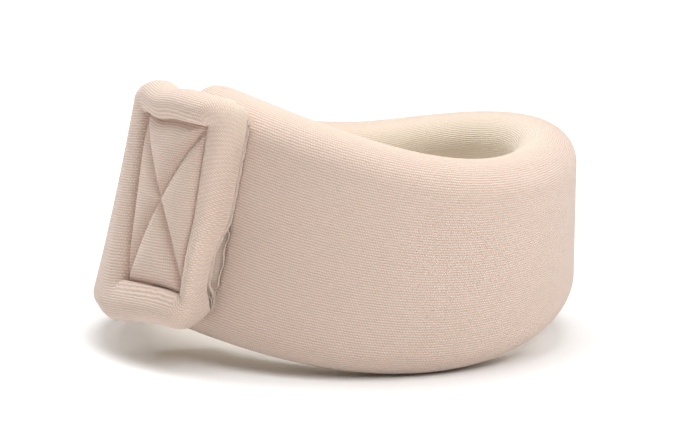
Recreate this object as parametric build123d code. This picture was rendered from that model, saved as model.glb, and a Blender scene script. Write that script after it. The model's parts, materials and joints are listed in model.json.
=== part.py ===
from build123d import *
import os
from math import ceil, cos, degrees, hypot, radians, sin, tan

# A soft cervical collar: a contoured foam strip in a knitted tube, bent into a ring and closed
# by a sewn-on hook tape that presses on a loop tape.  Millimetres, +Z up.
#
# A place along the strip is given by its bearing in degrees about the ring's centre, counted
# from -Y (the near side) through +X (the chin end), +Y (the far side) and -X.  It starts at the
# end that lies underneath and runs past 270 to the end that laps over the outside.

# Strip
strip_thickness = 25.4
edge_rounding = 0.45            # edge radius as a share of the strip's thickness
mean_height = 82.0
contour = 13.2                  # half the difference between the tall ends and the low chin
chin_bearing = 116.0
cover_thickness = 1.0
cover_ease = 0.25               # between the foam and its cover

# Ring, along the middle of the strip
ring_radius = 69.0
rest_height = 46.8              # middle of the strip above the table, on average
tilt_rise = 3.2                 # the closure side of the ring is higher than the chin side
tilt_bearing = -43.0
saddle_rise = 6.7               # the ring rocks on two low places and lifts between them
saddle_low_bearing = 24.5
mean_lean = -7.9                # degrees; negative leans the upper edge inwards
lean_swing = 15.0
lean_bearing = 28.5

# Ends and flex lines
under_end_bearing = -73.0
near_flex_bearing = 58.0
far_flex_bearing = 122.0
tab_flex_bearing = 255.0
tab_end_bearing = 321.3
flex_gap = 0.4                  # between the pieces on either side of a flex line
end_seam_width = 1.6            # the sewn end of the knitted tube

# Closure tab
tab_thickness = 17.0
lap_start_bearing = 165.0       # where the far arm begins to step out over the near arm
lap_full_bearing = 285.0
tab_pinch = 0.92                # height left at the sewn end
tab_rise = 8.7                  # the sewn end sits this much higher than the strip below it
tab_skew = 6.0                  # degrees; the lower edge of the sewn end is pulled back
tab_end_thinning = 0.40         # thickness left at the sewn end
thinning_length = 16.0

# Hook and loop tapes
tape_backing = 0.5
loop_pile = 1.0
hook_pile = 0.6
tape_clearance = 0.15           # tape to the cover it is sewn on
closure_clearance = 0.3         # hooks to loops
loop_start_bearing = -67.0
loop_end_bearing = -42.0
loop_height = 70.0
hook_start_bearing = 289.8
hook_end_bearing = 319.8
hook_height = 69.0

# Stitching
stitch_length = 2.0
stitch_pitch = 3.0
thread = 0.45
stitch_clearance = 0.15
box_start_bearing = 291.4
box_end_bearing = 317.2
box_height = 63.0
box_lift = 1.5                  # of the box's middle above the tab's
loop_stitch_inset = 2.5

station_step = 5.0              # degrees between lofted sections

closure_gap = (2 * tape_clearance + 2 * tape_backing + loop_pile + hook_pile + closure_clearance)
lap_offset = strip_thickness / 2 + closure_gap + tab_thickness / 2


def ease(value, start, end):
    """0 before start, 1 after end, and a smooth step between them."""
    share = min(max((value - start) / (end - start), 0.0), 1.0)
    return share * share * (3 - 2 * share)


def lap(bearing):
    """How far the strip has stepped out over its own start: 0 not yet, 1 fully."""
    return ease(bearing, lap_start_bearing, lap_full_bearing)


def thickness_at(bearing):
    """Full thickness of the covered strip."""
    lapped = strip_thickness + (tab_thickness - strip_thickness) * lap(bearing)
    thinning = degrees(thinning_length / (ring_radius + lap_offset))
    closed = ease(bearing, tab_end_bearing - thinning, tab_end_bearing)
    return lapped * (1 - (1 - tab_end_thinning) * closed ** 2)


def height_at(bearing):
    """Full height of the covered strip."""
    full = mean_height - contour * cos(radians(bearing - chin_bearing))
    return full * (1 - (1 - tab_pinch) * ease(bearing, tab_flex_bearing, tab_end_bearing))


def middle_at(bearing):
    """Point on the middle of the strip."""
    turn = radians(bearing)
    outward = Vector(sin(turn), -cos(turn), 0)
    rise = (rest_height + tilt_rise * cos(radians(bearing - tilt_bearing))
            - saddle_rise * cos(2 * radians(bearing - saddle_low_bearing))
            + tab_rise * ease(bearing, tab_flex_bearing, tab_end_bearing))
    return outward * (ring_radius + lap_offset * lap(bearing)) + Vector(0, 0, rise)


def section_plane(bearing):
    """Plane across the strip: x points out of the ring, y up the strip's height."""
    turn = radians(bearing)
    outward = Vector(sin(turn), -cos(turn), 0)
    along = Vector(cos(turn), sin(turn), 0)
    step = middle_at(bearing + 1) - middle_at(bearing - 1)
    slope = step.Z / hypot(step.X, step.Y) - tan(radians(tab_skew)) * lap(bearing)
    upright = (Vector(0, 0, 1) - along * slope).normalized()
    lean = radians(mean_lean + lean_swing * cos(radians(bearing - lean_bearing)))
    up_strip = upright * cos(lean) + outward * sin(lean)
    out_strip = outward * cos(lean) - upright * sin(lean)
    return Plane(origin=middle_at(bearing), x_dir=out_strip, z_dir=out_strip.cross(up_strip))


def bearing_step(bearing, length):
    """Degrees of bearing that cover a length along the middle of the strip."""
    per_degree = (middle_at(bearing + 0.5) - middle_at(bearing - 0.5)).length
    return length / per_degree


def stations(start, end):
    """Bearings of the lofted sections, on whole steps between the two ends."""
    first = ceil(start / station_step + 0.2)
    last = ceil(end / station_step - 0.2)
    return [start] + [n * station_step for n in range(first, last)] + [end]


def strip_section(bearing, inset):
    """Rounded rectangle across the strip, drawn in from its surface by inset."""
    thickness = thickness_at(bearing)
    radius = edge_rounding * thickness - inset
    return RectangleRounded(thickness - 2 * inset, height_at(bearing) - 2 * inset, radius)


def foam_between(start, end):
    """Solid foam of one stretch of the strip."""
    inset = cover_thickness + cover_ease
    faces = [section_plane(b) * strip_section(b, inset) for b in stations(start, end)]
    return loft(faces, ruled=True)


def cover_between(start, end):
    """Knitted tube around one stretch of the strip."""
    faces = []
    for bearing in stations(start, end):
        ring = strip_section(bearing, 0) - strip_section(bearing, cover_thickness)
        faces.append(section_plane(bearing) * ring)
    return loft(faces, ruled=True)


def seam_between(start, end):
    """Flat sewn end that closes the knitted tube."""
    faces = [section_plane(b) * strip_section(b, 0) for b in (start, end)]
    return loft(faces, ruled=True)


def tape_between(start, end, height, inner_face, depth):
    """Curved tape that stands depth out from inner_face, which is counted from the middle."""
    faces = []
    for bearing in stations(start, end):
        layer = Pos(inner_face + depth / 2, 0) * Rectangle(depth, height)
        faces.append(section_plane(bearing) * layer)
    return loft(faces, ruled=True)


def stitch_row(corners, face):
    """Stitches along straight lines between (bearing, height) corners, lying on a face."""
    stitches = []
    for (bearing_a, up_a), (bearing_b, up_b) in zip(corners, corners[1:]):
        begin = section_plane(bearing_a) * Pos(face(bearing_a), up_a, 0)
        finish = section_plane(bearing_b) * Pos(face(bearing_b), up_b, 0)
        length = (finish.position - begin.position).length
        count = max(1, round(length / stitch_pitch))
        for n in range(count):
            share = (n + 0.5) / count
            bearing = bearing_a + (bearing_b - bearing_a) * share
            up = up_a + (up_b - up_a) * share
            plane = section_plane(bearing)
            spin = Plane(origin=(plane * Pos(face(bearing), up, 0)).position,
                         x_dir=finish.position - begin.position, z_dir=plane.x_dir)
            stitches.append(spin * Box(stitch_length, thread, thread))
    return Compound(children=stitches)


def tab_face(bearing):
    """Middle of a thread that lies on the outer face of the tab."""
    return thickness_at(bearing) / 2 + stitch_clearance + thread / 2


def loop_face(bearing):
    """Middle of a thread that lies on the loop tape's backing, beside the pile."""
    return thickness_at(bearing) / 2 + tape_clearance + tape_backing + stitch_clearance + thread / 2


def frame_of(start, end, height, middle=0.0):
    """Closed rectangle of (bearing, height) corners."""
    low = middle - height / 2
    high = middle + height / 2
    return [(start, high), (end, high), (end, low), (start, low), (start, high)]


def after(bearing):
    return bearing + bearing_step(bearing, flex_gap / 2)


def before(bearing):
    return bearing - bearing_step(bearing, flex_gap / 2)


stretches = {
    "near_arm": (under_end_bearing, before(near_flex_bearing)),
    "chin": (after(near_flex_bearing), before(far_flex_bearing)),
    "far_arm": (after(far_flex_bearing), before(tab_flex_bearing)),
    "tab": (after(tab_flex_bearing), tab_end_bearing),
}

parts = {}
for name, (start, end) in stretches.items():
    foam_start = start + (bearing_step(start, 1.0) if name == "near_arm" else 0)
    foam_end = end - (bearing_step(end, 1.0) if name == "tab" else 0)
    parts["foam_" + name] = foam_between(foam_start, foam_end)
    parts["cover_" + name] = cover_between(start, end)

tab_seam_end = tab_end_bearing + bearing_step(tab_end_bearing, end_seam_width)
parts["tab_end_seam"] = seam_between(tab_end_bearing, tab_seam_end)
under_seam_start = under_end_bearing - bearing_step(under_end_bearing, end_seam_width)
parts["under_end_seam"] = seam_between(under_seam_start, under_end_bearing)

# The loop tape is sewn round its rim, so its pile stops short of the stitches.
loop_rim = bearing_step(loop_start_bearing, 2 * loop_stitch_inset)
under_face = strip_thickness / 2 + tape_clearance
parts["loop_tape_backing"] = tape_between(loop_start_bearing, loop_end_bearing, loop_height,
                                          under_face, tape_backing)
parts["loop_pile"] = tape_between(loop_start_bearing + loop_rim, loop_end_bearing - loop_rim,
                                  loop_height - 4 * loop_stitch_inset,
                                  under_face + tape_backing, loop_pile)
loop_inset = bearing_step(loop_start_bearing, loop_stitch_inset)
loop_seam = frame_of(loop_start_bearing + loop_inset, loop_end_bearing - loop_inset,
                     loop_height - 2 * loop_stitch_inset)
parts["loop_tape_stitching"] = stitch_row(loop_seam, loop_face)

# The hook tape lies on the inner face of the tab, hooks towards the loops.
tape_under_tab = -tab_thickness / 2 - tape_clearance - tape_backing
parts["hook_tape_backing"] = tape_between(hook_start_bearing, hook_end_bearing, hook_height,
                                          tape_under_tab, tape_backing)
parts["hook_pile"] = tape_between(hook_start_bearing, hook_end_bearing, hook_height,
                                  tape_under_tab - hook_pile, hook_pile)

box_seam = frame_of(box_start_bearing, box_end_bearing, box_height, box_lift)
parts["tab_box_stitching"] = stitch_row(box_seam, tab_face)
cross_inset = bearing_step(box_start_bearing, stitch_pitch)
cross = frame_of(box_start_bearing + cross_inset, box_end_bearing - cross_inset,
                 box_height - 2 * stitch_pitch, box_lift)
centre = ((box_start_bearing + box_end_bearing) / 2, box_lift)
rows = [stitch_row([corner, centre], tab_face) for corner in cross[:4]]
parts["tab_cross_stitching"] = Compound(children=rows)

# The origin is the middle of the collar's footprint, on the table.
bounds = Compound(children=[Compound(part.solids()) for part in parts.values()]).bounding_box()
to_origin = Vector(-bounds.center().X, -bounds.center().Y, -bounds.min.Z)
os.makedirs("parts", exist_ok=True)
for name, part in parts.items():
    moved = Compound(part.solids()).moved(Location(to_origin))
    export_step(moved, f"parts/{name}.step")


def hinge_at(bearing):
    """Flex axis: a line up the strip's outer face, as a point and a direction."""
    plane = section_plane(bearing)
    on_face = plane * Pos(thickness_at(bearing) / 2, 0, 0)
    return on_face.position + to_origin, plane.y_dir


for name, bearing in (("near", near_flex_bearing), ("far", far_flex_bearing), ("tab", tab_flex_bearing)):
    point, axis = hinge_at(bearing)
    print(f"{name} flex line: {point} along {axis}")
print(f"middle of the ring: {to_origin + Vector(0, 0, rest_height)}, size: {bounds.size}")
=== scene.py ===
import bpy
import bmesh
import json
import numpy as np
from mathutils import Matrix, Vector, noise


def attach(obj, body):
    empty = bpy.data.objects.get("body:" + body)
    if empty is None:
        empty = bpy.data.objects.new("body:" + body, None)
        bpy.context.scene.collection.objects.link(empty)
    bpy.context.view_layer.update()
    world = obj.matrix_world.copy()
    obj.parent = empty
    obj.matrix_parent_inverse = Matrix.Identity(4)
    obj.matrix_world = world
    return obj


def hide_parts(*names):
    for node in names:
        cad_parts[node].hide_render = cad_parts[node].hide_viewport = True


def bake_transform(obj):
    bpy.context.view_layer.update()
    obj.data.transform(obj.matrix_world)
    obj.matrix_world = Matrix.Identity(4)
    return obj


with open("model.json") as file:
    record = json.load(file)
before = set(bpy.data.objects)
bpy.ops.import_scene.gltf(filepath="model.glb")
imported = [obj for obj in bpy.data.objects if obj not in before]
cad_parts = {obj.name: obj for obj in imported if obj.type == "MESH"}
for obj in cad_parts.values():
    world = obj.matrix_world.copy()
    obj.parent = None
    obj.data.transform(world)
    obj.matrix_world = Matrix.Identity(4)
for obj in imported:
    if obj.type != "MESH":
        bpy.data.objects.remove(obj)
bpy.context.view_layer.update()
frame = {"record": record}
MM = 0.001

# ---------------------------------------------------------------------------------------------
# Foam strip.  Open-cell polyurethane foam, one inch thick, cut from sheet: low at the chin and
# tall at both ends, with rounded edges.  It is one soft piece, bent into a ring.
# A place along it is a bearing in degrees about the ring's centre: 0 is the near side (-Y), 90
# the chin end (+X), 180 the far side, and past 270 the strip laps over its own start.
strip_thickness = 25.4
edge_rounding = 0.45
mean_height = 82.0
contour = 13.2
chin_bearing = 116.0
ring_radius = 69.0
rest_height = 46.8
tilt_rise = 3.2
tilt_bearing = -43.0
saddle_rise = 6.7
saddle_low_bearing = 24.5
mean_lean = -7.9
lean_swing = 15.0
lean_bearing = 28.5
under_end = -73.0
tab_flex = 255.0
tab_end = 321.3
tab_thickness = 17.0
tape_room = 3.2                 # between near arm and tab, where the two tapes lie
lap_offset = strip_thickness / 2 + tape_room + tab_thickness / 2
lap_start = 165.0
lap_full = 285.0
tab_pinch = 0.92
tab_rise = 8.7
tab_skew = 6.0
ring_centre = np.array(next(m["pos_m"] for m in frame["record"]["mounts"] if m["name"] == "neck"))
ring_centre[2] -= rest_height * MM


def ease(value, start, end):
    share = np.clip((value - start) / (end - start), 0.0, 1.0)
    return share * share * (3 - 2 * share)


def turn_of(bearing):
    turn = np.radians(bearing)
    flat = np.zeros_like(turn)
    outward = np.stack([np.sin(turn), -np.cos(turn), flat], -1)
    along = np.stack([np.cos(turn), np.sin(turn), flat], -1)
    return turn, outward, along


def middle_of(bearing):
    """Middle line of the strip, in millimetres from the ring's centre."""
    turn, outward, along = turn_of(bearing)
    reach = ring_radius + lap_offset * ease(bearing, lap_start, lap_full)
    rise = (rest_height + tilt_rise * np.cos(turn - np.radians(tilt_bearing))
            - saddle_rise * np.cos(2 * (turn - np.radians(saddle_low_bearing)))
            + tab_rise * ease(bearing, tab_flex, tab_end))
    line = outward * reach[..., None]
    line[..., 2] = rise
    return line


def across(bearing):
    """Directions out of the ring and up the strip at each bearing."""
    turn, outward, along = turn_of(bearing)
    step = middle_of(bearing + 1) - middle_of(bearing - 1)
    slope = step[..., 2] / np.hypot(step[..., 0], step[..., 1])
    slope = slope - np.tan(np.radians(tab_skew)) * ease(bearing, lap_start, lap_full)
    upright = np.array([0, 0, 1.0]) - along * slope[..., None]
    upright /= np.linalg.norm(upright, axis=-1, keepdims=True)
    lean = np.radians(mean_lean + lean_swing * np.cos(turn - np.radians(lean_bearing)))[..., None]
    up_strip = upright * np.cos(lean) + outward * np.sin(lean)
    out_strip = outward * np.cos(lean) - upright * np.sin(lean)
    return out_strip, up_strip


# Arc length along the middle of the strip, and back from it to a bearing.
bearing_table = np.linspace(under_end - 4, tab_end + 4, 3000)
length_steps = np.linalg.norm(np.diff(middle_of(bearing_table), axis=0), axis=1)
length_table = np.concatenate([[0], np.cumsum(length_steps)])


def run_at(bearing):
    return np.interp(bearing, bearing_table, length_table)


def bearing_at(run):
    return np.interp(run, length_table, bearing_table)


# Puffed ends: the cover is drawn in and sewn, so thickness and height round off to the seam.
tab_round = 9.0
tab_corner = 7.0
under_round = 8.0
under_corner = 3.0
end_edge = 0.6


def rounding(run_to_end, radius):
    share = np.clip(run_to_end / radius, 0.0, 1.0)
    return np.sqrt(np.clip(1 - (1 - share) ** 2, 0, 1))


def section_size(bearing):
    """Thickness and height of the covered strip, and how far its middle has moved inwards."""
    lap = ease(bearing, lap_start, lap_full)
    thick = strip_thickness + (tab_thickness - strip_thickness) * lap
    tall = mean_height - contour * np.cos(np.radians(bearing - chin_bearing))
    tall = tall * (1 - (1 - tab_pinch) * ease(bearing, tab_flex, tab_end))
    to_tab_end = run_at(np.asarray(tab_end)) - run_at(bearing)
    to_under_end = run_at(bearing) - run_at(np.asarray(under_end))
    full = thick
    close = rounding(to_tab_end, tab_round) * rounding(to_under_end, under_round)
    thick = end_edge + (thick - end_edge) * close
    # At the tab's end only the outer face rounds off; it is sewn down to the inner face.
    inwards = np.where(to_tab_end < tab_round, (full - thick) / 2, 0.0)
    tall = tall - 2 * tab_corner * (1 - rounding(to_tab_end, tab_corner))
    tall = tall - 2 * under_corner * (1 - rounding(to_under_end, under_corner))
    return thick, tall, inwards


def section_points(thick, tall, share):
    """Points of a rounded rectangle at shares of its girth.

    Share 0 is the middle of the inner face; it goes over the top edge, down the outer face and
    back under the lower edge.
    """
    radius = edge_rounding * thick
    side = tall / 2 - radius
    edge = thick - 2 * radius
    arc = np.pi / 2 * radius
    stops = np.cumsum(np.stack([side, arc, edge, arc, 2 * side, arc, edge, arc, side]), axis=0)
    place = share * stops[-1]
    x = np.empty_like(place)
    y = np.empty_like(place)
    half = thick / 2
    lift = tall / 2
    start = np.concatenate([np.zeros((1,) + stops.shape[1:]), stops[:-1]])
    for n in range(9):
        inside = (place >= start[n]) & (place <= stops[n] + 1e-9)
        gone = (place - start[n])
        angle = gone / radius
        if n == 0:
            px, py = -half + 0 * gone, gone
        elif n == 1:
            px, py = -half + radius - radius * np.cos(angle), side + radius * np.sin(angle)
        elif n == 2:
            px, py = -half + radius + gone, lift + 0 * gone
        elif n == 3:
            px, py = half - radius + radius * np.sin(angle), side + radius * np.cos(angle)
        elif n == 4:
            px, py = half + 0 * gone, side - gone
        elif n == 5:
            px, py = half - radius + radius * np.cos(angle), -side - radius * np.sin(angle)
        elif n == 6:
            px, py = half - radius - gone, -lift + 0 * gone
        elif n == 7:
            px, py = -half + radius - radius * np.sin(angle), -side - radius * np.cos(angle)
        else:
            px, py = -half + 0 * gone, -side + gone
        x = np.where(inside, px, x)
        y = np.where(inside, py, y)
    return x, y


# Box-and-cross quilting of the tab, which presses into the foam.  Its outline is a rectangle on
# the outer face, given as runs along the strip and heights up it, in millimetres.
box_start = 291.4
box_end = 317.2
box_height = 63.0
box_lift = 1.5
seam_depth = 6.8
roll_radius = 8.5
puff = 4.0
puff_reach = 3.6
panel_crown = 0.6
crown_reach = 6.0
box_left, box_right = run_at(np.array([box_start, box_end]))
box_low, box_high = box_lift - box_height / 2, box_lift + box_height / 2
box_corners = [(box_left, box_high), (box_right, box_high), (box_right, box_low), (box_left, box_low)]


def to_line(px, py, ax, ay, bx, by):
    """Distance from points to a straight seam."""
    length_squared = (bx - ax) ** 2 + (by - ay) ** 2
    along = np.clip(((px - ax) * (bx - ax) + (py - ay) * (by - ay)) / length_squared, 0, 1)
    return np.hypot(px - ax - along * (bx - ax), py - ay - along * (by - ay))


def quilting(run, up):
    """How far the outer face is drawn in, in millimetres, at a place along and up the strip."""
    sides = [to_line(run, up, *box_corners[n], *box_corners[(n + 1) % 4]) for n in range(4)]
    cross = [to_line(run, up, *box_corners[0], *box_corners[2]),
             to_line(run, up, *box_corners[3], *box_corners[1])]
    inside = (run > box_left) & (run < box_right) & (up > box_low) & (up < box_high)
    to_box = np.min(sides, axis=0)
    to_any = np.minimum(to_box, np.min(cross, axis=0))
    crown = panel_crown * (1 - np.exp(-to_box / crown_reach))
    panel = seam_depth - puff * (1 - np.exp(-to_any / puff_reach)) - crown
    share = np.clip(to_box / roll_radius, 0, 1)
    roll = seam_depth * (1 - np.sqrt(1 - (1 - share) ** 2))
    return np.where(inside, panel, roll)


# The rolls round the box are squeezed up and lean over the seam, least on the left.
roll_lean = 1.5
lean_reach = 4.5
left_lean_share = 0.4
lean_scale = 6.75               # brings the peak of share * (1 - share) ** 2 to 1


def lean_over(run, up):
    """How far the surface outside the box moves towards it, along and up the strip."""
    off_run = np.clip(box_left - run, 0, None) - np.clip(run - box_right, 0, None)
    off_up = np.clip(box_low - up, 0, None) - np.clip(up - box_high, 0, None)
    far = np.hypot(off_run, off_up) + 1e-9
    share = np.clip(far / lean_reach, 0, 1)
    side_share = np.where(run < box_left, left_lean_share, 1.0)
    amount = lean_scale * roll_lean * share * (1 - share) ** 2 * side_share
    return amount * off_run / far, amount * off_up / far


# The stitching pulls the tab's upper edge into a hump and a dip, and its lower edge sags.
hump_height = 0.7
dip_depth = 1.4
sag_depth = 3.0
end_sag = 1.0
edge_zone = (10.0, 34.0)        # heights from the strip's middle over which an edge is pulled


def swell(from_box, middle, reach):
    return np.exp(-((from_box - middle) / reach) ** 2)


def outline_shift(run, up):
    """How far the outline moves up, in millimetres, at a place along and up the strip."""
    from_box = run - box_left
    hump = hump_height * swell(from_box, 3.0, 5.0) - dip_depth * swell(from_box, 17.0, 7.0)
    sag = sag_depth * ease(from_box, -26.0, -8.0) + end_sag * swell(from_box, 42.0, 6.0)
    return hump * ease(up, *edge_zone) - sag * ease(-up, *edge_zone)


# Past the box the tab bends down on to the near arm, except low down, where its end stands off.
tuck_depth = 2.2
tuck_length = 15.0
tip_depth = 0.8
tip_length = 3.0
lift_off = 5.2
lift_length = 8.0


def tuck(run, up):
    """How far the strip moves inwards at its tab end, in millimetres."""
    end = run_at(tab_end)
    lifted = ease(-up, 2.0, 18.0) * (1 - 0.6 * ease(-up, 28.0, 34.0))
    close = ease(run, end - tuck_length, end)
    tip = ease(run, end - tip_length, end)
    off = ease(run, end - lift_length, end)
    return close * tuck_depth + tip_depth * tip * (1 - lifted) - lift_off * off * lifted


fine_share = 0.55               # of the usual step, over the quilted tab


def station_runs(first, last, step):
    """Places of the sections along the strip: finer over the quilted tab and at the ends."""
    begin, finish = run_at(first), run_at(last)
    fine_from = run_at(box_start - 4)
    count = max(4, int(round((min(finish, fine_from) - begin) / step)))
    runs = np.linspace(begin, min(finish, fine_from), count + 1)
    if finish > fine_from:
        fine = np.linspace(fine_from, finish, int((finish - fine_from) / (step * fine_share)) + 1)
        runs = np.concatenate([runs, fine[1:]])
    for end, bearing in ((begin, under_end), (finish, tab_end)):
        if abs(end - run_at(bearing)) > 1e-6:
            continue
        sign = 1 if end == begin else -1
        near = end + sign * np.array([0.0, 0.03, 0.12, 0.3, 0.6, 1.0])
        runs = np.concatenate([near, runs[np.abs(runs - end) > 1.2]])
    return np.sort(runs)


crowding = 0.09                 # share of the girth by which points gather on the tab's outer face


def strip_surface(first, last, along_step, girth_count, inset=0.0):
    """Grid of points on the strip between two bearings: (stations, girth, 3) in metres, with
    the run, the share of the girth and how far the seams draw it in at each point."""
    run = station_runs(first, last, along_step)
    bearing = bearing_at(run)
    share = np.linspace(0, 1, girth_count, endpoint=False)
    thick, tall, inwards = section_size(bearing)
    crowd = crowding * ease(bearing, 225.0, 280.0)[:, None]
    shares = share + crowd * np.sin(2 * np.pi * share)
    x, y = section_points((thick - 2 * inset)[:, None] + 0 * shares,
                          (tall - 2 * inset)[:, None] + 0 * shares, shares)
    runs = run[:, None] + 0 * shares
    outer = ease(x, 0.0, 4.0) * (runs > run_at(tab_flex))
    drawn = quilting(runs, y) * outer
    x = x - drawn - inwards[:, None] - tuck(runs, y)
    lean_run, lean_up = lean_over(runs, y)
    place = bearing_at(runs + lean_run * outer)
    y = y + lean_up * outer + outline_shift(runs, y)
    out_strip, up_strip = across(place)
    points = middle_of(place) + out_strip * x[..., None] + up_strip * y[..., None]
    return points * MM + ring_centre, runs, shares, drawn


# The last of the tab is folded in, which turns its wales down towards the end.
fold_slant = 0.9                # millimetres down for each millimetre along
fold_girth = 165.0              # round the tab, in millimetres


def smooth_object(name, mesh):
    mesh.polygons.foreach_set("use_smooth", [True] * len(mesh.polygons))
    obj = bpy.data.objects.new(name, mesh)
    bpy.context.collection.objects.link(obj)
    return obj


def tube_mesh(name, points, runs, shares, cap_first, cap_last):
    """Closed tube of quads with a UV map: millimetres along the strip, share of the girth."""
    stations, girth, _ = points.shape
    verts = points.reshape(-1, 3)
    slant = np.clip(runs[:, 0] - box_right + 1.0, 0, None) * fold_slant / fold_girth
    faces = []
    uvs = []
    for i in range(stations - 1):
        for j in range(girth):
            k = (j + 1) % girth
            faces.append((i * girth + j, (i + 1) * girth + j, (i + 1) * girth + k, i * girth + k))
            for row, column in ((i, j), (i + 1, j), (i + 1, j + 1), (i, j + 1)):
                share = shares[row, column] if column < girth else 1.0
                uvs.append((runs[row, 0], share - slant[row]))
    for cap, i in ((cap_first, 0), (cap_last, stations - 1)):
        if not cap:
            continue
        # The flat end is laced shut from its upper corner to its lower one, side to side.
        from_top = (shares[i] - 0.25) % 1.0
        order = np.argsort(from_top)
        half = int(np.searchsorted(from_top[order], 0.5))
        outer = [int(n) for n in order[:half]]
        inner = [int(n) for n in order[half:][::-1]]
        down = {n: from_top[n] for n in outer}
        down.update({n: 1.0 - from_top[n] for n in inner})
        while len(outer) > 1 or len(inner) > 1:
            take_outer = len(inner) == 1 or (len(outer) > 1 and down[outer[1]] <= down[inner[1]])
            third = outer[1] if take_outer else inner[1]
            corner = (outer[0], third, inner[0])
            (outer if take_outer else inner).pop(0)
            corner = corner if i else corner[::-1]
            faces.append(tuple(i * girth + n for n in corner))
            uvs += [(runs[i, 0], shares[i, n] - slant[i]) for n in corner]
    mesh = bpy.data.meshes.new(name)
    mesh.from_pydata(verts.tolist(), [], faces)
    layer = mesh.uv_layers.new(name="knit")
    layer.data.foreach_set("uv", np.array(uvs, np.float32).ravel())
    mesh.update()
    return smooth_object(name, mesh)


def linear(colour):
    """sRGB hex to linear RGBA."""
    value = np.array([int(colour[i:i + 2], 16) for i in (1, 3, 5)]) / 255
    return (*np.where(value <= 0.04045, value / 12.92, ((value + 0.055) / 1.055) ** 2.4).tolist(), 1.0)


def add(tree, kind, settings=(), **links):
    """A node with its settings and inputs; a link is a value or another node's socket."""
    node = tree.nodes.new(kind)
    for key, value in dict(settings).items():
        setattr(node, key, value)
    for key, value in links.items():
        socket = node.inputs[int(key[1:])] if key[1:].isdigit() else node.inputs[key.replace("_", " ")]
        if isinstance(value, bpy.types.NodeSocket):
            tree.links.new(value, socket)
        else:
            socket.default_value = value
    return node


def new_material(name):
    material = bpy.data.materials.new(name)
    material.use_nodes = True
    material.node_tree.nodes.clear()
    return material


# Open-cell foam: pale, matt and finely pored.
foam_material = new_material("open_cell_polyurethane_foam")
tree = foam_material.node_tree
place = add(tree, "ShaderNodeTexCoord")
pores = add(tree, "ShaderNodeTexVoronoi", Vector=place.outputs["Object"], Scale=700.0)
tint = add(tree, "ShaderNodeMix", {"data_type": "RGBA"}, _0=pores.outputs["Distance"],
           _6=linear("#b5a88c"), _7=linear("#efe6cf"))
bump = add(tree, "ShaderNodeBump", Height=pores.outputs["Distance"], Strength=0.6, Distance=0.0006)
shader = add(tree, "ShaderNodeBsdfPrincipled", Base_Color=tint.outputs[2], Roughness=0.95,
             Normal=bump.outputs[0])
add(tree, "ShaderNodeOutputMaterial", Surface=shader.outputs[0])

near_joint = ("chin_section", "near_arm")
far_joint = ("chin_section", "far_arm")
tab_joint = ("far_arm", "closure_tab")
split_near = 90.0               # middle of the chin, which never bends
split_far = 205.0               # middle of the far arm


def on_middle(bearing):
    return (middle_of(np.asarray(float(bearing))) * MM + ring_centre).tolist()


# Each stretch: name, bearings, bodies it joins, where it bends from and to, and the lengths of the
# strip that it takes in.  Stretches meet where the strip doesn't bend, so neighbours stay joined.
stretches = [
    ("near", under_end, split_near, near_joint, 76.0, 38.0, ("chin", "near_arm")),
    ("far", split_near, split_far, far_joint, 104.0, 142.0, ("far_arm",)),
    ("tab", split_far, tab_end, tab_joint, 230.0, 284.0, ("tab",)),
]
cover_gap = 1.6                 # foam lies this far under the outside of the cover
tab_gap_share = 1.6             # and deeper by this on the tab, whose seams draw the cover in
under_short = 1.3               # bearings by which the foam stops short of the sewn ends
tab_short = 3.2
for name, first, last, joint, bend_from, bend_to, nodes in stretches:
    first, last = max(first, under_end + under_short), min(last, tab_end - tab_short)
    inset = cover_gap * (tab_gap_share if name == "tab" else 1.0)
    points, runs, shares, _ = strip_surface(first, last, 2.0, 120, inset=inset)
    foam = tube_mesh("foam_strip_" + name, points, runs, shares, True, True)
    foam.data.materials.append(foam_material)
    on_middle(bend_from)
    on_middle(bend_to)
    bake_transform(foam)
    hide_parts(*["foam_" + node for node in nodes])

# ---------------------------------------------------------------------------------------------
# Cover.  Beige tubular stockinette knit, drawn over the foam with its wales along the strip and
# sewn shut at both ends.  It is matt and a little fuzzy, with painted shade that makes it pinker
# and darker in its creases and painted bounce light that makes it lighter and creamier inside.
cover_step = 1.0
girth_count = 240
wale_count = 204                # round the girth: 0.8 mm apart at the chin, up to 1.1 mm where tall
stitch_pitch = 0.85             # along the strip, in millimetres

knit = new_material("beige_stockinette_knit")
tree = knit.node_tree
uv = add(tree, "ShaderNodeUVMap", {"uv_map": "knit"})
parts = add(tree, "ShaderNodeSeparateXYZ", Vector=uv.outputs[0])
place = add(tree, "ShaderNodeTexCoord")
pull = add(tree, "ShaderNodeTexNoise", Vector=place.outputs["Object"], Scale=350.0, Detail=2.0)
wander = add(tree, "ShaderNodeMath", {"operation": "MULTIPLY"}, _0=pull.outputs[0], _1=0.6)
wale = add(tree, "ShaderNodeMath", {"operation": "MULTIPLY_ADD"}, _0=parts.outputs[1],
           _1=float(wale_count), _2=wander.outputs[0])
wale_number = add(tree, "ShaderNodeMath", {"operation": "FLOOR"}, _0=wale.outputs[0])
stagger = add(tree, "ShaderNodeMath", {"operation": "MULTIPLY"}, _0=wale_number.outputs[0], _1=0.5)
stitch = add(tree, "ShaderNodeMath", {"operation": "MULTIPLY_ADD"}, _0=parts.outputs[0],
             _1=1 / stitch_pitch, _2=stagger.outputs[0])


def wave(value, low):
    """A wave between low and 1 that repeats once for each whole number of value."""
    angle = add(tree, "ShaderNodeMath", {"operation": "MULTIPLY"}, _0=value, _1=2 * np.pi)
    cosine = add(tree, "ShaderNodeMath", {"operation": "COSINE"}, _0=angle.outputs[0])
    return add(tree, "ShaderNodeMath", {"operation": "MULTIPLY_ADD"}, _0=cosine.outputs[0],
               _1=-(1 - low) / 2, _2=(1 + low) / 2).outputs[0]


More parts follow.
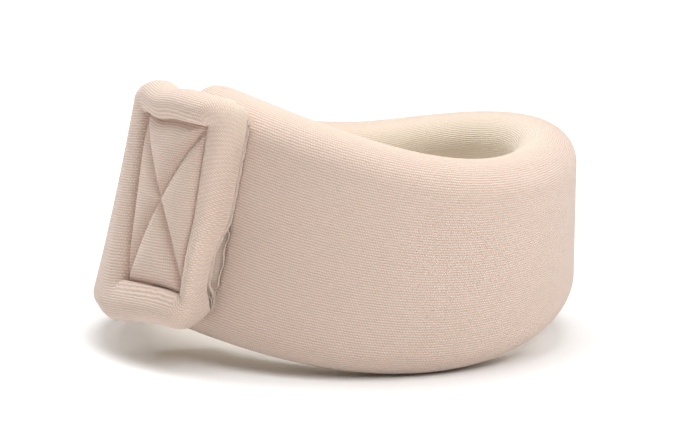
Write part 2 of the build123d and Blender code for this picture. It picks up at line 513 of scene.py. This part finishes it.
loops = add(tree, "ShaderNodeMath", {"operation": "MULTIPLY"}, _0=wave(wale.outputs[0], 0.0),
            _1=wave(stitch.outputs[0], 0.35))
cloud = add(tree, "ShaderNodeTexNoise", Vector=place.outputs["Object"], Scale=22.0, Detail=3.0)
fuzz = add(tree, "ShaderNodeTexNoise", Vector=place.outputs["Object"], Scale=900.0, Detail=2.0)
uneven = add(tree, "ShaderNodeMath", {"operation": "MULTIPLY_ADD"}, _0=cloud.outputs[0], _1=0.5,
             _2=fuzz.outputs[0])
yarn = add(tree, "ShaderNodeMath", {"operation": "MULTIPLY_ADD"}, _0=uneven.outputs[0], _1=0.30,
           _2=loops.outputs[0])
tint = add(tree, "ShaderNodeMix", {"data_type": "RGBA"}, _0=yarn.outputs[0],
           _6=linear("#c3a18e"), _7=linear("#e2d2c5"))
# Painted shade: the knit turns pinker and darker where the seams draw it deep into the quilted creases.
sewn = add(tree, "ShaderNodeAttribute", {"attribute_name": "drawn_in"})
painted_crease_shade = add(tree, "ShaderNodeMapRange", Value=sewn.outputs["Fac"], _1=3.5, _2=7.0, _3=0.0, _4=0.4)
tint = add(tree, "ShaderNodeMix", {"data_type": "RGBA"}, _0=painted_crease_shade.outputs[0], _6=tint.outputs[2],
           _7=linear("#b98d7c"))
# Painted light: the inner face is made lighter and creamier, standing in for light bounced on to it.
inside = add(tree, "ShaderNodeMapRange", {"interpolation_type": "SMOOTHSTEP"},
             Value=wave(parts.outputs[1], 0.0), _1=0.68, _2=0.2)
painted_inner_light = add(tree, "ShaderNodeMath", {"operation": "MULTIPLY"}, _0=inside.outputs[0], _1=0.55)
tint = add(tree, "ShaderNodeMix", {"data_type": "RGBA"}, _0=painted_inner_light.outputs[0], _6=tint.outputs[2],
           _7=linear("#f2e8cf"))
bump = add(tree, "ShaderNodeBump", Height=yarn.outputs[0], Strength=0.55, Distance=0.0005)
shader = add(tree, "ShaderNodeBsdfPrincipled", Base_Color=tint.outputs[2], Roughness=0.9,
             Normal=bump.outputs[0])
shader.inputs["Sheen Weight"].default_value = 0.25
shader.inputs["Sheen Roughness"].default_value = 0.5
add(tree, "ShaderNodeOutputMaterial", Surface=shader.outputs[0])

for name, first, last, joint, bend_from, bend_to, nodes in stretches:
    points, runs, shares, drawn = strip_surface(first, last, cover_step, girth_count)
    cover = tube_mesh("knit_cover_" + name, points, runs, shares, name == "near", name == "tab")
    cover.data.materials.append(knit)
    # How deep each point is drawn in, which sets the painted crease shade in the knit.
    depth = cover.data.attributes.new("drawn_in", "FLOAT", "POINT")
    depth.data.foreach_set("value", drawn.astype(np.float32).ravel())
    on_middle(bend_from)
    on_middle(bend_to)
    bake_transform(cover)
    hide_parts(*["cover_" + node for node in nodes])

# ---------------------------------------------------------------------------------------------
# Loop tape.  A woven nylon strip with brushed loops, sewn flat round its rim on the outer face of
# the near arm, where the tab lands.
tape_depth = 0.5
loop_start = -67.0
loop_end = -42.0
loop_height = 70.0
loop_rim = 5.0
pile_gap = 0.15


def place_on(run, up, out):
    """Points at a run along the strip, a height up it and a distance out from its middle."""
    run, up, out = np.broadcast_arrays(run, up, out)
    bearing = bearing_at(run)
    out_strip, up_strip = across(bearing)
    point = middle_of(bearing) + out_strip * out[..., None] + up_strip * up[..., None]
    return point * MM + ring_centre


def face_outwards(mesh):
    work = bmesh.new()
    work.from_mesh(mesh)
    bmesh.ops.recalc_face_normals(work, faces=work.faces)
    work.to_mesh(mesh)
    work.free()


def tape_mesh(name, begin, finish, height, corner, outline, face, depth, step=1.0):
    """Thin closed tape on the strip.  outline gives extra length at a height, face how far out
    from the strip's middle its back lies, at a run and a height."""
    rows = np.linspace(-height / 2, height / 2, int(height / step) + 1)
    shares = np.linspace(0, 1, int((finish - begin) / step) + 1)
    over = np.clip((np.abs(rows) - height / 2 + corner) / corner, 0, 1)
    trim = corner * (1 - np.sqrt(1 - over ** 2))
    low = begin + trim
    high = finish + outline(rows) - trim
    run = low[:, None] + (high - low)[:, None] * shares
    up = rows[:, None] + 0 * run
    back = face(run, up)
    grid = np.stack([place_on(run, up, back), place_on(run, up, back + depth)])
    ny, nx = run.shape
    faces = []
    for layer in (0, 1):
        for i in range(ny - 1):
            for j in range(nx - 1):
                a = layer * ny * nx + i * nx + j
                quad = (a, a + nx, a + nx + 1, a + 1)
                faces.append(quad if layer == 0 else quad[::-1])
    rim = [(0, j) for j in range(nx - 1)] + [(i, nx - 1) for i in range(ny - 1)]
    rim += [(ny - 1, j) for j in range(nx - 1, 0, -1)] + [(i, 0) for i in range(ny - 1, 0, -1)]
    ring = [i * nx + j for i, j in rim]
    for a, b in zip(ring, ring[1:] + ring[:1]):
        faces.append((a, b, b + ny * nx, a + ny * nx))
    mesh = bpy.data.meshes.new(name)
    mesh.from_pydata(grid.reshape(-1, 3).tolist(), [], faces)
    mesh.update()
    face_outwards(mesh)
    return smooth_object(name, mesh)


# Woven nylon: fine even threads, 0.6 mm apart, a little shiny and greyer than the knit.
nylon = new_material("woven_nylon_tape")
tree = nylon.node_tree
place = add(tree, "ShaderNodeTexCoord")
threads = add(tree, "ShaderNodeTexWave", {"bands_direction": "Z"}, Vector=place.outputs["Object"],
              Scale=520.0, Distortion=1.5, Detail=1.0)
grime = add(tree, "ShaderNodeTexNoise", Vector=place.outputs["Object"], Scale=60.0, Detail=3.0)
mixed = add(tree, "ShaderNodeMath", {"operation": "MULTIPLY_ADD"}, _0=grime.outputs[0], _1=0.5,
            _2=threads.outputs["Fac"])
tint = add(tree, "ShaderNodeMix", {"data_type": "RGBA"}, _0=mixed.outputs[0],
           _6=linear("#b99f90"), _7=linear("#dfcec2"))
bump = add(tree, "ShaderNodeBump", Height=threads.outputs["Fac"], Strength=0.4, Distance=0.0002)
shader = add(tree, "ShaderNodeBsdfPrincipled", Base_Color=tint.outputs[2], Roughness=0.55,
             Normal=bump.outputs[0])
add(tree, "ShaderNodeOutputMaterial", Surface=shader.outputs[0])

near_face = strip_thickness / 2 + pile_gap


def no_outline(up):
    return 0 * up


def on_near_arm(run, up):
    return near_face + 0 * run


loop_begin, loop_finish = run_at(np.array([loop_start, loop_end]))
loop_backing = tape_mesh("loop_tape_woven_backing", loop_begin, loop_finish, loop_height, 4.0,
                         no_outline, on_near_arm, tape_depth)
loop_backing.data.materials.append(nylon)
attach(loop_backing, "near_arm")
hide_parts("loop_tape_backing")


def group(name, inputs):
    """A Geometry Nodes tree with a geometry in and out and named inputs."""
    tree = bpy.data.node_groups.new(name, "GeometryNodeTree")
    tree.interface.new_socket("Geometry", in_out="INPUT", socket_type="NodeSocketGeometry")
    for label, kind, value in inputs:
        socket = tree.interface.new_socket(label, in_out="INPUT", socket_type="NodeSocket" + kind)
        if value is not None:
            socket.default_value = value
    tree.interface.new_socket("Geometry", in_out="OUTPUT", socket_type="NodeSocketGeometry")
    return tree, tree.nodes.new("NodeGroupInput"), tree.nodes.new("NodeGroupOutput")


def grow(name, carrier, tree, values):
    """Runs a tree on a carrier mesh and keeps the result as a plain mesh."""
    base = bpy.data.objects.new(name + "_carrier", carrier)
    bpy.context.collection.objects.link(base)
    modifier = base.modifiers.new("grow", "NODES")
    modifier.node_group = tree
    for item in tree.interface.items_tree:
        if item.in_out == "INPUT" and item.name in values:
            modifier[item.identifier] = values[item.name]
    base.data.update()
    graph = bpy.context.evaluated_depsgraph_get()
    mesh = bpy.data.meshes.new_from_object(base.evaluated_get(graph))
    bpy.data.objects.remove(base)
    mesh.name = name
    obj = bpy.data.objects.new(name, mesh)
    bpy.context.collection.objects.link(obj)
    return obj


# Pile: a bent wire of nylon stands on every point of a carrier, each turned its own way.
pile_tree, given, result = group("pile_on_tape", [
    ("Bend radius", "Float", 0.0004), ("Bend angle", "Float", 4.4), ("Wire radius", "Float", 0.00008),
    ("Turn spread", "Float", 6.28), ("Seed", "Int", 3), ("Material", "Material", None)])
arc = add(pile_tree, "GeometryNodeCurveArc", Resolution=8, Radius=given.outputs["Bend radius"],
          Sweep_Angle=given.outputs["Bend angle"])
stand = add(pile_tree, "GeometryNodeTransform", Geometry=arc.outputs[0], Rotation=(np.pi / 2, 0, 0))
wire = add(pile_tree, "GeometryNodeCurvePrimitiveCircle", Resolution=4,
           Radius=given.outputs["Wire radius"])
strand = add(pile_tree, "GeometryNodeCurveToMesh", Curve=stand.outputs[0],
             Profile_Curve=wire.outputs[0], Fill_Caps=True)
normal = add(pile_tree, "GeometryNodeInputNormal")
upright = add(pile_tree, "FunctionNodeAlignRotationToVector", {"axis": "Z"}, Vector=normal.outputs[0])
spin = add(pile_tree, "FunctionNodeRandomValue", {"data_type": "FLOAT"}, Seed=given.outputs["Seed"])
pile_tree.links.new(given.outputs["Turn spread"], spin.inputs[3])
spin_axis = add(pile_tree, "ShaderNodeCombineXYZ", Z=spin.outputs[1])
turned = add(pile_tree, "FunctionNodeRotateRotation", {"rotation_space": "LOCAL"},
             Rotation=upright.outputs[0], Rotate_By=spin_axis.outputs[0])
spread = add(pile_tree, "GeometryNodeInstanceOnPoints", Points=given.outputs["Geometry"],
             Instance=strand.outputs[0], Rotation=turned.outputs[0])
real = add(pile_tree, "GeometryNodeRealizeInstances", Geometry=spread.outputs[0])
dressed = add(pile_tree, "GeometryNodeSetMaterial", Geometry=real.outputs[0],
              Material=given.outputs["Material"])
pile_tree.links.new(dressed.outputs[0], result.inputs[0])


def pile_carrier(name, begin, finish, height, face, pitch, outwards):
    """Points in staggered rows on a tape, with their normals along the strip's own."""
    rows = np.arange(-height / 2, height / 2, pitch)
    runs = np.arange(begin, finish, pitch)
    run = runs[None, :] + (np.arange(len(rows)) % 2)[:, None] * pitch / 2
    up = rows[:, None] + 0 * run
    points = place_on(run, up, face(run, up))
    ny, nx = run.shape
    faces = []
    for i in range(ny - 1):
        for j in range(nx - 1):
            a = i * nx + j
            quad = (a, a + 1, a + nx + 1, a + nx)
            faces.append(quad if outwards else quad[::-1])
    mesh = bpy.data.meshes.new(name)
    mesh.from_pydata(points.reshape(-1, 3).tolist(), [], faces)
    mesh.update()
    return mesh


# Brushed nylon loops: a soft, uneven nap of fine filaments.
nap = new_material("brushed_nylon_loops")
tree = nap.node_tree
place = add(tree, "ShaderNodeTexCoord")
tangle = add(tree, "ShaderNodeTexNoise", Vector=place.outputs["Object"], Scale=500.0, Detail=4.0)
tint = add(tree, "ShaderNodeMix", {"data_type": "RGBA"}, _0=tangle.outputs[0],
           _6=linear("#bfa99b"), _7=linear("#e6d8cc"))
bump = add(tree, "ShaderNodeBump", Height=tangle.outputs[0], Strength=0.5, Distance=0.0003)
shader = add(tree, "ShaderNodeBsdfPrincipled", Base_Color=tint.outputs[2], Roughness=0.8,
             Normal=bump.outputs[0])
shader.inputs["Sheen Weight"].default_value = 0.3
add(tree, "ShaderNodeOutputMaterial", Surface=shader.outputs[0])

loop_face = near_face + tape_depth
nap_depth = 0.35
nap_gap = 0.02
filament_rise = 0.15
pile_height = loop_height - 2 * loop_rim
loop_bed = tape_mesh("loop_pile_nap", loop_begin + loop_rim, loop_finish - loop_rim, pile_height,
                     3.0, no_outline, lambda run, up: loop_face + nap_gap + 0 * run, nap_depth)
loop_bed.data.materials.append(nap)
pile_pitch = 1.5                # as coarse as it must be to show; real loops stand closer
carrier = pile_carrier("loop_points", loop_begin + loop_rim + 1, loop_finish - loop_rim - 1,
                       pile_height - 2,
                       lambda run, up: loop_face + nap_depth + filament_rise + 0 * run,
                       pile_pitch, True)
loops_up = grow("loop_pile_filaments", carrier, pile_tree,
                {"Bend radius": 0.00045, "Bend angle": 6.2, "Wire radius": 0.00007, "Seed": 5,
                 "Material": nap})
for piece in (loop_bed, loops_up):
    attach(piece, "near_arm")
    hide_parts("loop_pile")

# ---------------------------------------------------------------------------------------------
# Hook tape.  A woven nylon strip with moulded hooks, sewn to the inner face of the tab by the box
# and cross.  Its end stands proud of the tab low down, where the edge has curled away.
hook_start = 289.8
hook_end = 319.8
hook_height = 69.0
lip_reach = 3.8
lip_curl = 1.9
sewn_tuck = 1.3                 # most that the sewn part follows the tab inwards
loose_drop = 2.6                # of the loose end below the tab's inner face
crest_past_end = 1.9
crest_waver = 0.45
crest_width = 0.9
hook_begin, hook_finish = run_at(np.array([hook_start, hook_end]))


def lip(up):
    """How far the curled edge shows at a height: a wavy strip on the lower half."""
    shown = ease(-up, 4.0, 11.0) * (1 - 0.8 * ease(-up, 29.0, 33.0))
    return lip_reach * shown * (1 + 0.12 * np.sin(up * 0.55) + 0.05 * np.sin(up * 1.9 + 1))


def under_tab(run, up):
    """Back of the hook tape: just under the tab where they are sewn, and down on the near arm at
    its loose end, whose edge waves."""
    loose = ease(run, box_right, run_at(tab_end))
    sewn = -tab_thickness / 2 - pile_gap - tape_depth - np.clip(tuck(run, up), None, sewn_tuck)
    down = -tab_thickness / 2 - loose_drop
    crest = run_at(tab_end) + crest_past_end + crest_waver * np.sin(up * 0.55 + 0.5)
    curl = lip_curl * np.exp(-((run - crest) / crest_width) ** 2)
    return sewn * (1 - loose) + down * loose + curl * ease(-up, 4.0, 12.0)


hook_backing = tape_mesh("hook_tape_woven_backing", hook_begin, hook_finish, hook_height, 2.5, lip,
                         under_tab, tape_depth, step=0.5)
hook_backing.data.materials.append(nylon)

# Moulded nylon hooks: clear beige, slightly shiny.
hook_nylon = new_material("moulded_nylon_hooks")
tree = hook_nylon.node_tree
place = add(tree, "ShaderNodeTexCoord")
cloudy = add(tree, "ShaderNodeTexNoise", Vector=place.outputs["Object"], Scale=200.0, Detail=2.0)
tint = add(tree, "ShaderNodeMix", {"data_type": "RGBA"}, _0=cloudy.outputs[0],
           _6=linear("#bba896"), _7=linear("#d8cabb"))
shader = add(tree, "ShaderNodeBsdfPrincipled", Base_Color=tint.outputs[2], Roughness=0.35)
add(tree, "ShaderNodeOutputMaterial", Surface=shader.outputs[0])

hook_drop = 0.25
carrier = pile_carrier("hook_points", hook_begin + 1.5, hook_finish - 2, hook_height - 4,
                       lambda run, up: under_tab(run, up) - hook_drop, pile_pitch, False)
hooks = grow("hook_pile_hooks", carrier, pile_tree,
             {"Bend radius": 0.0003, "Bend angle": 4.4, "Wire radius": 0.00009, "Turn spread": 0.6,
              "Seed": 7, "Material": hook_nylon})
for piece, node, finish_slot in ((hook_backing, "hook_tape_backing", "tape"),
                                 (hooks, "hook_pile", "hook_pile")):
    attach(piece, "closure_tab")
    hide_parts(node)

# ---------------------------------------------------------------------------------------------
# Stitching.  Spun polyester thread in lockstitch: a box and a cross through the tab and its hook
# tape, sunk in the creases, and a line round the loop tape.
stitch_tree, given, result = group("sewn_line", [
    ("Pitch", "Float", 0.0026), ("Stitch length", "Float", 0.0020), ("Thread radius", "Float", 0.0002),
    ("Material", "Material", None)])
line = add(stitch_tree, "GeometryNodeMeshToCurve", Mesh=given.outputs["Geometry"])
spaced = add(stitch_tree, "GeometryNodeResampleCurve", {"mode": "LENGTH"}, Curve=line.outputs[0],
             Length=given.outputs["Pitch"])
tangent = add(stitch_tree, "GeometryNodeInputTangent")
facing = add(stitch_tree, "FunctionNodeAlignRotationToVector", {"axis": "X"}, Vector=tangent.outputs[0])
bead = add(stitch_tree, "GeometryNodeMeshUVSphere", Segments=8, Rings=6, Radius=1.0)
half_length = add(stitch_tree, "ShaderNodeMath", {"operation": "MULTIPLY"},
                  _0=given.outputs["Stitch length"], _1=0.5)
shape = add(stitch_tree, "ShaderNodeCombineXYZ", X=half_length.outputs[0],
            Y=given.outputs["Thread radius"], Z=given.outputs["Thread radius"])
sewn = add(stitch_tree, "GeometryNodeInstanceOnPoints", Points=spaced.outputs[0],
           Instance=bead.outputs[0], Rotation=facing.outputs[0], Scale=shape.outputs[0])
real = add(stitch_tree, "GeometryNodeRealizeInstances", Geometry=sewn.outputs[0])
dressed = add(stitch_tree, "GeometryNodeSetMaterial", Geometry=real.outputs[0],
              Material=given.outputs["Material"])
stitch_tree.links.new(dressed.outputs[0], result.inputs[0])

# Spun thread: matt, twisted, a shade darker than the knit.
thread_material = new_material("spun_polyester_thread")
tree = thread_material.node_tree
place = add(tree, "ShaderNodeTexCoord")
twist = add(tree, "ShaderNodeTexWave", {"bands_direction": "DIAGONAL"}, Vector=place.outputs["Object"],
            Scale=900.0)
tint = add(tree, "ShaderNodeMix", {"data_type": "RGBA"}, _0=twist.outputs["Fac"],
           _6=linear("#b08f7d"), _7=linear("#d0b4a3"))
shader = add(tree, "ShaderNodeBsdfPrincipled", Base_Color=tint.outputs[2], Roughness=0.8)
add(tree, "ShaderNodeOutputMaterial", Surface=shader.outputs[0])


def seam_line(name, lines):
    """Edges along one or more rows of points."""
    points = [point.tolist() for row in lines for point in row]
    edges = []
    first = 0
    for row in lines:
        edges += [(first + n, first + n + 1) for n in range(len(row) - 1)]
        first += len(row)
    mesh = bpy.data.meshes.new(name)
    mesh.from_pydata(points, edges, [])
    return mesh


thread_lift = 0.15


def quilted_row(start, stop):
    """Points along a straight seam on the quilted face, from (run, up) to (run, up)."""
    share = np.linspace(0, 1, 60)
    run = start[0] + (stop[0] - start[0]) * share
    up = start[1] + (stop[1] - start[1]) * share
    thick = section_size(bearing_at(run))[0]
    return place_on(run, up, thick / 2 - quilting(run, up) + thread_lift)


box_rows = [quilted_row(box_corners[n], box_corners[(n + 1) % 4]) for n in range(4)]
cross_rows = [quilted_row(box_corners[0], box_corners[2]), quilted_row(box_corners[3], box_corners[1])]

seam_inset = 2.5
seam_start, seam_end = loop_begin + seam_inset, loop_finish - seam_inset
seam_top = loop_height / 2 - seam_inset
seam_corners = [(seam_start, seam_top), (seam_end, seam_top), (seam_end, -seam_top),
                (seam_start, -seam_top)]
share = np.linspace(0, 1, 40)
loop_rows = []
for (run_a, up_a), (run_b, up_b) in zip(seam_corners, seam_corners[1:] + seam_corners[:1]):
    loop_rows.append(place_on(run_a + (run_b - run_a) * share, up_a + (up_b - up_a) * share,
                              loop_face + thread_lift))

for name, rows, body, node in (("tab_box_stitches", box_rows, "closure_tab", "tab_box_stitching"),
                               ("tab_cross_stitches", cross_rows, "closure_tab", "tab_cross_stitching"),
                               ("loop_tape_stitches", loop_rows, "near_arm", "loop_tape_stitching")):
    stitches = grow(name, seam_line(name + "_line", rows), stitch_tree, {"Material": thread_material})
    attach(stitches, body)
    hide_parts(node)

# ---------------------------------------------------------------------------------------------
# Sewn ends.  The knitted tube is turned in and whipped shut: a narrow hem with close stitches
# over it, and on the tab a small tuft where the thread was finished at the upper corner.
hem_radius = 0.6


def hem_points(bearing, waver):
    """Middle of the hem from the lower to the upper corner of an end."""
    run = run_at(np.asarray(float(bearing)))
    thick, tall, shift = section_size(np.array([bearing]))
    up = np.linspace(-tall[0] / 2 + 1.0, tall[0] / 2 - 1.0, 90)
    return place_on(run + waver * np.sin(up * 0.9), up, -shift[0] - tuck(run, up))


def hem(name, rows, radius):
    """A soft, slightly lumpy roll along rows of points."""
    count, around = len(rows), 10
    tangent = np.gradient(rows, axis=0)
    tangent /= np.linalg.norm(tangent, axis=1, keepdims=True)
    side = np.cross(tangent, [0.3, -1.0, 0.1])
    side /= np.linalg.norm(side, axis=1, keepdims=True)
    other = np.cross(tangent, side)
    turn = np.linspace(0, 2 * np.pi, around, endpoint=False)
    step = np.arange(count)
    size = radius * (1 + 0.16 * np.sin(step * 1.7) + 0.1 * np.sin(step * 0.53)) * MM
    size = size * np.sqrt(np.clip(np.minimum(step, count - 1 - step) / 3.0, 0.02, 1))
    ring = (rows[:, None] + side[:, None] * (np.cos(turn) * size[:, None])[..., None]
            + other[:, None] * (np.sin(turn) * size[:, None])[..., None])
    faces = [(i * around + j, (i + 1) * around + j, (i + 1) * around + (j + 1) % around,
              i * around + (j + 1) % around) for i in range(count - 1) for j in range(around)]
    faces += [tuple(range(around)), tuple(range((count - 1) * around, count * around))[::-1]]
    mesh = bpy.data.meshes.new(name)
    mesh.from_pydata(ring.reshape(-1, 3).tolist(), [], faces)
    face_outwards(mesh)
    index = np.array([loop.vertex_index for loop in mesh.loops])
    knit_places = np.stack([index // around * 0.9, 0.5 + index % around / around * 0.04], 1)
    layer = mesh.uv_layers.new(name="knit")
    layer.data.foreach_set("uv", knit_places.astype(np.float32).ravel())
    return smooth_object(name, mesh)


for name, bearing, waver, body, node in (
        ("tab_end_hem", tab_end, 0.12, "closure_tab", "tab_end_seam"),
        ("under_end_hem", under_end, 0.15, "near_arm", "under_end_seam")):
    rows = hem_points(bearing, waver)
    roll = hem(name, rows, hem_radius)
    roll.data.materials.append(knit)
    beside = np.gradient(rows, axis=0)
    beside = np.cross(beside / np.linalg.norm(beside, axis=1, keepdims=True), [0, 0, 1.0])
    whip = seam_line(name + "_line", [rows + beside * hem_radius * MM])
    whipping = grow(name + "_stitches", whip, stitch_tree,
                    {"Pitch": 0.0013, "Stitch length": 0.0009, "Thread radius": 0.00028,
                     "Material": thread_material})
    for piece in (roll, whipping):
        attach(piece, body)
        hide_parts(node)

# Tuft: a few lobes of gathered knit and thread.
upper = hem_points(tab_end, 0.0)[-1]
work = bmesh.new()
for side, lift, size in ((0.0, 0.0, 1.3), (0.9, 0.5, 0.9), (0.5, -0.9, 0.8), (-0.7, 0.7, 0.8)):
    ball = bmesh.ops.create_icosphere(work, subdivisions=3, radius=size * MM)
    for vert in ball["verts"]:
        lump = 1 + 0.18 * noise.noise(vert.co * 2200)
        vert.co = Vector(upper) + Vector((side * MM, -0.3 * MM, lift * MM)) + vert.co * lump
layer = work.loops.layers.uv.new("knit")
for face in work.faces:
    face.smooth = True
    for loop in face.loops:
        loop[layer].uv = (loop.vert.co.x * 1000, 0.4 + loop.vert.co.z)
mesh = bpy.data.meshes.new("tab_end_tuft")
work.to_mesh(mesh)
work.free()
tuft = bpy.data.objects.new("tab_end_tuft", mesh)
bpy.context.collection.objects.link(tuft)
tuft.data.materials.append(knit)
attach(tuft, "closure_tab")

# ---------------------------------------------------------------------------------------------
# Studio.  A plain white table that runs out of sight, under broad soft lights.  Past the collar it
# glows a little, so that it stays white all round.
bpy.ops.mesh.primitive_plane_add(size=8.0, location=(0, 1.5, 0))
table = bpy.context.object
table.name = "studio_table"
table_material = new_material("white_studio_table")
tree = table_material.node_tree
place = add(tree, "ShaderNodeTexCoord")
away = add(tree, "ShaderNodeVectorMath", {"operation": "DISTANCE"}, _0=place.outputs["Object"],
           _1=(0.0, -1.5, 0.0))
glow = add(tree, "ShaderNodeMapRange", Value=away.outputs["Value"], _1=0.25, _2=1.3, _3=0.0, _4=0.8)
shader = add(tree, "ShaderNodeBsdfPrincipled", Roughness=0.6, Emission_Strength=glow.outputs[0])
shader.inputs["Base Color"].default_value = (0.92, 0.92, 0.92, 1)
shader.inputs["Emission Color"].default_value = (1, 1, 1, 1)
add(tree, "ShaderNodeOutputMaterial", Surface=shader.outputs[0])
table.data.materials.append(table_material)

world = bpy.data.worlds.new("bright_room")
world.use_nodes = True
world.node_tree.nodes["Background"].inputs[0].default_value = (1.0, 1.0, 1.0, 1)
world.node_tree.nodes["Background"].inputs[1].default_value = 0.18
bpy.context.scene.world = world

# Each light: name, place and size in metres, and power in watts.  All point at the collar.
aim = Vector((0, 0, 0.05))
for name, place, size, power in (("key", (0.7, -0.9, 1.3), 0.9, 14.0),
                                 ("right", (1.3, -0.1, 0.9), 0.9, 4.5),
                                 ("top", (0.0, 0.0, 1.6), 1.0, 19.5),
                                 ("back", (-1.0, 0.6, 1.0), 0.8, 9.5)):
    lamp = bpy.data.lights.new(name, "AREA")
    lamp.size = size
    lamp.energy = power
    light = bpy.data.objects.new(name, lamp)
    light.location = place
    light.rotation_euler = (aim - Vector(place)).to_track_quat("-Z", "Y").to_euler()
    bpy.context.collection.objects.link(light)
bpy.context.scene.view_settings.view_transform = "Standard"

# Camera: a long lens from the near side, a little above the collar.
eye_elevation = np.radians(13.7)
eye_distance = 1.0
lens_length = 128.87
look_down = np.radians(11.1)
look_left = np.radians(0.6)
eye = ring_centre + np.array([0, -np.cos(eye_elevation), np.sin(eye_elevation)]) * eye_distance
camera_data = bpy.data.cameras.new("camera")
camera_data.sensor_width = 36.0
camera_data.lens = lens_length
camera = bpy.data.objects.new("camera", camera_data)
camera.location = eye
camera.rotation_euler = (np.pi / 2 - look_down, 0, look_left)
bpy.context.collection.objects.link(camera)
bpy.context.scene.camera = camera
